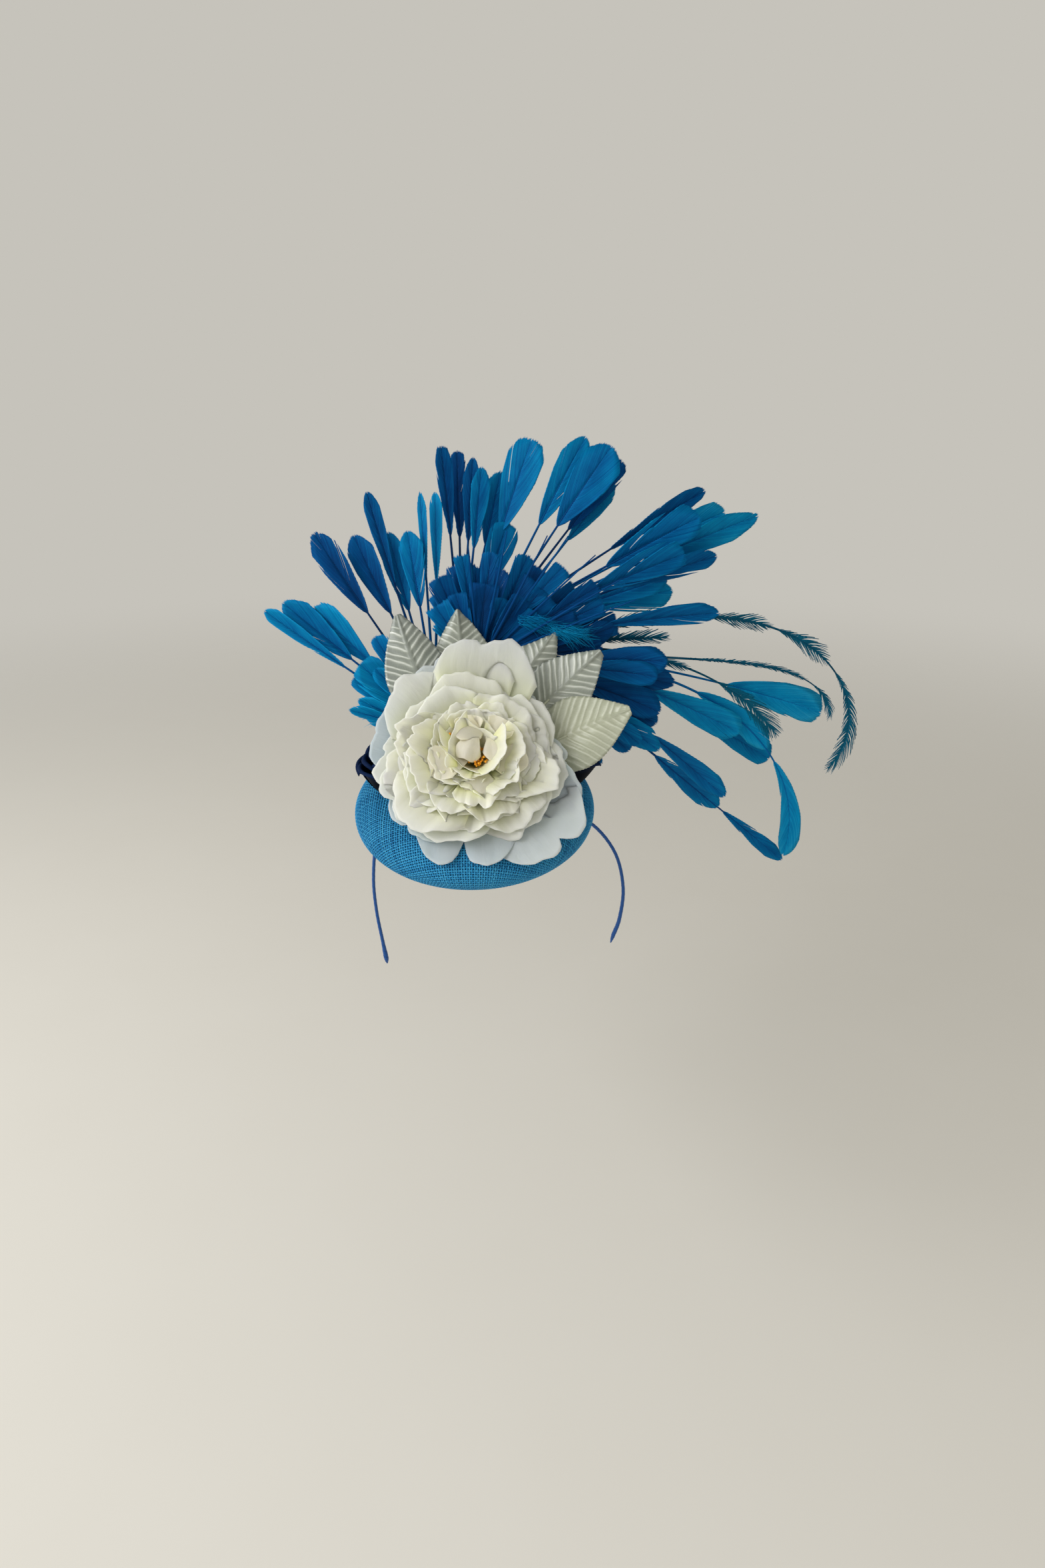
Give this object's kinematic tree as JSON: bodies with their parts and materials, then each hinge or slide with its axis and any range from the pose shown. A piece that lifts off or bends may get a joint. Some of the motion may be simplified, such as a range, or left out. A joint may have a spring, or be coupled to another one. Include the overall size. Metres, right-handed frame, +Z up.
{
  "type": "fascinator",
  "caption": "Fascinator: round sinamay base on a wire headband, trimmed with a silk peony, satin leaves, ribbon roses and a fan of stripped feathers.",
  "frame": {"origin": "centre of the base's mouth, where the base sits on the head", "axes": "+Z up as worn, the wearer faces -Y, +X to the right in the front view; the base tips forward by 11 degrees"},
  "size_m": [0.3748, 0.1812, 0.353],
  "materials": {
    "sinamay": "open plain weave, bright blue",
    "satin_blue": "royal blue satin",
    "petal_silk": "matte cream silk",
    "stamen": "orange-yellow thread",
    "stem_wire": "green taped wire",
    "leaf_satin": "pleated ivory satin",
    "rose_navy": "navy ribbon",
    "feather": "dyed feather, cobalt to turquoise, soft sheen"
  },
  "bodies": {
    "root": {"edge_binding": "satin_blue", "feathers_dropping": "feather", "feathers_left": "feather", "feathers_low_left": "feather", "feathers_low_right": "feather", "feathers_right": "feather", "feathers_short_crest": "feather", "feathers_top": "feather", "feathers_top_left": "feather", "feathers_top_right": "feather", "feathers_trailing": "feather", "headband": "satin_blue", "leaf_left": "leaf_satin", "leaf_right": "leaf_satin", "leaf_top_left": "leaf_satin", "leaf_top_right": "leaf_satin", "leaf_upper_right": "leaf_satin", "peony_layer_1": "petal_silk", "peony_layer_2": "petal_silk", "peony_layer_3": "petal_silk", "peony_layer_4": "petal_silk", "peony_layer_5": "petal_silk", "peony_layer_6": "petal_silk", "peony_layer_7": "petal_silk", "peony_stamens": "stamen", "peony_stem": "stem_wire", "ribbon_rose_left": "rose_navy", "ribbon_rose_right": "rose_navy", "sinamay_base": "sinamay"}
  },
  "joints": []
}
